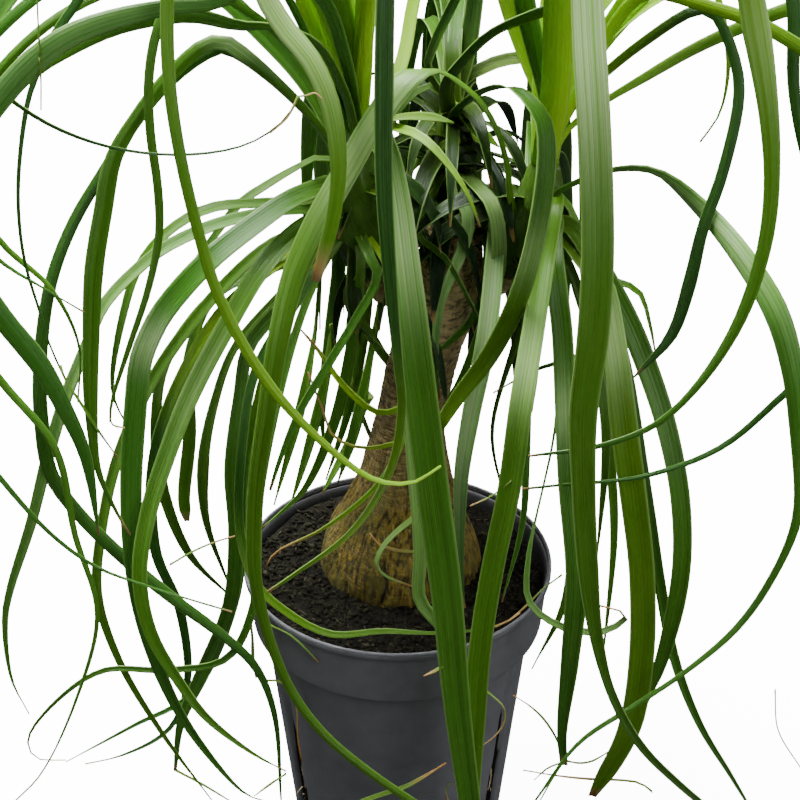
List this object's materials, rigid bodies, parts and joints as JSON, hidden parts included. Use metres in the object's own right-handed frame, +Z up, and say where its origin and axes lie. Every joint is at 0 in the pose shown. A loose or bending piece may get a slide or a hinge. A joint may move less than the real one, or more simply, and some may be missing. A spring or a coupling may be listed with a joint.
{
  "type": "potted ponytail palm",
  "caption": "House plant with a swollen woody base, a leaning trunk and crowns of long drooping strap leaves, in a deep plastic nursery pot.",
  "frame": {"origin": "middle of the flat underside of the pot", "axes": "+Z up along the pot's axis, -Y towards the viewer of the picture, +X to that viewer's right, where the trunk leans"},
  "size_m": [0.5586, 0.4453, 0.7046],
  "materials": {
    "pot_plastic": "satin",
    "peat_soil": "matte",
    "bark": "matte",
    "root": "matte",
    "leaf_left": "gloss",
    "leaf_right": "gloss",
    "leaf_center": "gloss"
  },
  "bodies": {
    "root": {"pot": "pot_plastic", "soil": "peat_soil", "trunk": "bark", "root_left": "root", "root_right": "root", "head_left": "leaf_left", "head_right": "leaf_right", "head_center": "leaf_center"}
  },
  "joints": []
}
